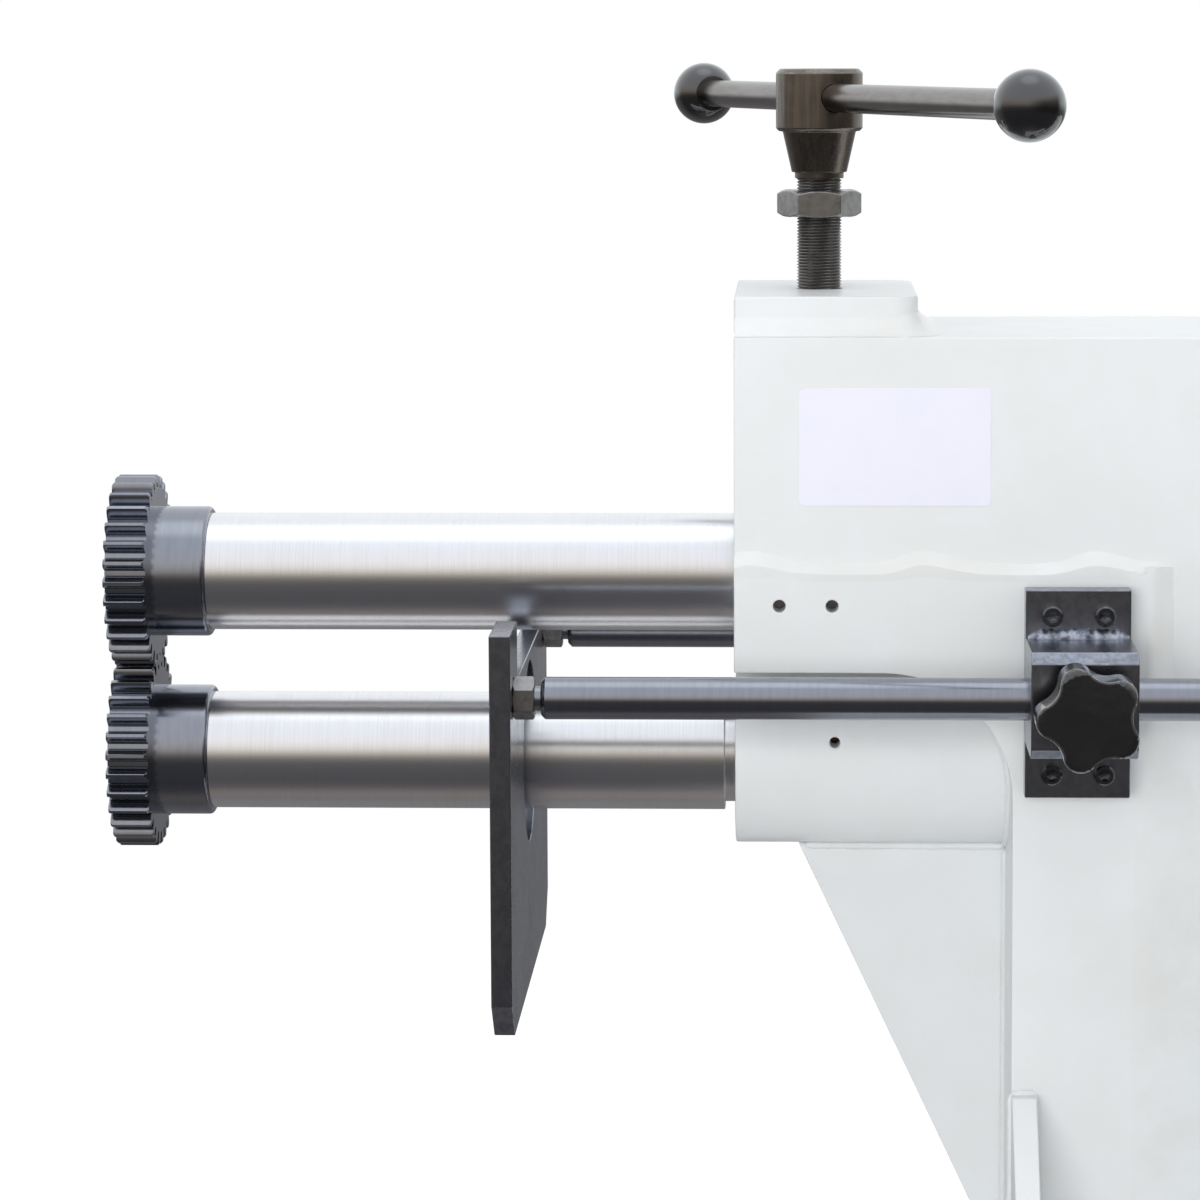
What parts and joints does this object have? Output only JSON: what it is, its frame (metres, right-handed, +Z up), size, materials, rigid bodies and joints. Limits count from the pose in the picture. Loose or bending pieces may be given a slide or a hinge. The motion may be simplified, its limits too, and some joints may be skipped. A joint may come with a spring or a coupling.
{
  "type": "rotary beading machine",
  "caption": "Bench-mounted motorised beading machine: toothed rolls on two long shafts, welded arm with adjusting screw and T-handle, depth stop on guide rods.",
  "frame": {"origin": "centre of the base plate's underside, on the bench bolt pattern", "axes": "+Z up, rolls towards -X, drive end towards +X, controls towards -Y"},
  "size_m": [1.012, 0.53, 0.7104],
  "materials": {
    "paint": "smooth satin, light grey white",
    "ground_steel": "ground and polished",
    "black_oxide": "black oxide, satin",
    "zinc": "bare, slightly dull",
    "bright_steel": "turned",
    "bronze": "machined",
    "grey_iron": "machined",
    "motor_grey": "satin, mid grey",
    "black_plastic": "glossy black",
    "panel_grey": "satin grey",
    "red_plastic": "glossy red",
    "green_plastic": "glossy green",
    "dark_plastic": "moulded"
  },
  "bodies": {
    "frame": {"base_plate": "paint", "cheek_plates": "paint", "side_plates": "paint", "arm_top_plate": "paint", "top_pad": "paint", "front_web": "paint", "arm_bulkheads": "paint", "rear_wall": "paint", "lower_housing": "paint", "throat_gusset": "paint", "buttresses": "paint", "shaft_bushings": "bronze", "lift_springs": "zinc", "pivot_housing": "grey_iron", "clamp_plates": "black_oxide", "clamp_blocks": "black_oxide", "clamp_screws": "black_oxide", "gear_case": "paint", "gear_case_cover": "paint", "gear_cover_screws": "black_oxide", "adjuster_boss": "grey_iron", "gearbox_housing": "motor_grey", "motor_body": "motor_grey", "terminal_box": "motor_grey", "fan_cover": "motor_grey", "control_box": "panel_grey", "control_panel": "panel_grey", "cable_glands": "dark_plastic"},
    "thrust": {"thrust_sleeve": "bright_steel"},
    "wheel": {"adjusting_wheel": "black_plastic"},
    "lower_spindle": {"lower_shaft": "ground_steel", "shaft_end_nut": "zinc", "lower_roll": "black_oxide", "lower_timing_gear": "bright_steel", "bull_gear": "bright_steel", "lower_roll_fixing": "black_oxide"},
    "carriage": {"slide_block": "grey_iron", "block_bushing": "bronze", "pivot_ball": "bright_steel"},
    "upper_spindle": {"upper_shaft": "ground_steel", "upper_roll": "black_oxide", "upper_timing_gear": "bright_steel", "upper_roll_fixing": "black_oxide"},
    "pinion": {"drive_pinion": "bright_steel"},
    "foot": {"pressure_foot": "bright_steel"},
    "screw": {"adjusting_screw": "black_oxide", "screw_hub": "black_oxide"},
    "nut": {"lock_nut": "zinc"},
    "bar": {"cross_bar": "black_oxide", "ball_knobs": "black_plastic"},
    "depth_stop": {"stop_plate": "black_oxide", "guide_rods": "black_oxide", "stop_nuts": "black_oxide"},
    "near_pad": {"near_clamp_pad": "bronze"},
    "near_knob": {"near_clamp_knob": "black_plastic"},
    "far_pad": {"far_clamp_pad": "bronze"},
    "far_knob": {"far_clamp_knob": "black_plastic"},
    "e_stop": {"emergency_stop": "red_plastic"},
    "start": {"start_button": "green_plastic"},
    "selector": {"selector_knob": "dark_plastic"}
  },
  "joints": [
    {"name": "roll_align_slide", "type": "slide", "parent": "frame", "child": "thrust", "axis": [1, 0, 0], "range_m": [-0.0025, 0.0025]},
    {"name": "align_wheel_turn", "type": "hinge", "parent": "thrust", "child": "wheel", "pos_m": [0.314, 0, 0.37], "axis": [1, 0, 0], "range_deg": [-360, 360]},
    {"name": "lower_spin", "type": "hinge", "parent": "thrust", "child": "lower_spindle", "pos_m": [0, 0, 0.37], "axis": [1, 0, 0], "continuous": true},
    {"name": "upper_tilt", "type": "hinge", "parent": "frame", "child": "carriage", "pos_m": [0.26, 0, 0.46], "axis": [0, 1, 0], "range_deg": [0, 1], "deforming": ["lift_springs"]},
    {"name": "upper_spin", "type": "hinge", "parent": "carriage", "child": "upper_spindle", "pos_m": [0, 0, 0.46], "axis": [1, 0, 0], "continuous": true},
    {"name": "pinion_spin", "type": "hinge", "parent": "frame", "child": "pinion", "pos_m": [0, 0, 0.277], "axis": [1, 0, 0], "continuous": true},
    {"name": "foot_slide", "type": "slide", "parent": "frame", "child": "foot", "axis": [0, 0, 1], "range_m": [0, 0.009]},
    {"name": "screw_turn", "type": "hinge", "parent": "foot", "child": "screw", "pos_m": [-0.259, 0, 0.601], "axis": [0, 0, 1], "range_deg": [0, 2160]},
    {"name": "lock_nut_slide", "type": "slide", "parent": "screw", "child": "nut", "axis": [0, 0, 1], "range_m": [-0.0352, 0.0057]},
    {"name": "cross_bar_slide", "type": "slide", "parent": "screw", "child": "bar", "axis": [0.3746, -0.9272, 0], "range_m": [-0.2025, 0.1225]},
    {"name": "depth_stop_slide", "type": "slide", "parent": "frame", "child": "depth_stop", "axis": [1, 0, 0], "range_m": [-0.16, 0.097]},
    {"name": "near_pad_slide", "type": "slide", "parent": "frame", "child": "near_pad", "axis": [0, -1, 0], "range_m": [0, 0.003]},
    {"name": "near_knob_turn", "type": "hinge", "parent": "near_pad", "child": "near_knob", "pos_m": [-0.1365, -0.15, 0.415], "axis": [0, -1, 0], "range_deg": [0, 720]},
    {"name": "far_pad_slide", "type": "slide", "parent": "frame", "child": "far_pad", "axis": [0, 1, 0], "range_m": [0, 0.003]},
    {"name": "far_knob_turn", "type": "hinge", "parent": "far_pad", "child": "far_knob", "pos_m": [-0.1365, 0.15, 0.415], "axis": [0, 1, 0], "range_deg": [0, 720]},
    {"name": "emergency_stop_push", "type": "slide", "parent": "frame", "child": "e_stop", "axis": [0, 1, 0], "range_m": [0, 0.004]},
    {"name": "start_button_push", "type": "slide", "parent": "frame", "child": "start", "axis": [0, 1, 0], "range_m": [0, 0.004], "stiffness_N_per_m": 300},
    {"name": "selector_turn", "type": "hinge", "parent": "frame", "child": "selector", "pos_m": [0.04, -0.14, 0.195], "axis": [0, 1, 0], "range_deg": [-60, 60]}
  ],
  "couplings": [
    {"joint": "align_wheel_turn", "follows": "roll_align_slide", "rad_per_m": 2513.3},
    {"joint": "upper_spin", "follows": "lower_spin", "ratio": -1},
    {"joint": "pinion_spin", "follows": "lower_spin", "ratio": -2.4444},
    {"joint": "foot_slide", "follows": "screw_turn", "m_per_rad": 0.00023873},
    {"joint": "upper_tilt", "follows": "screw_turn", "ratio": 0.00045999},
    {"joint": "near_pad_slide", "follows": "near_knob_turn", "m_per_rad": 0.00023873},
    {"joint": "far_pad_slide", "follows": "far_knob_turn", "m_per_rad": 0.00023873}
  ]
}
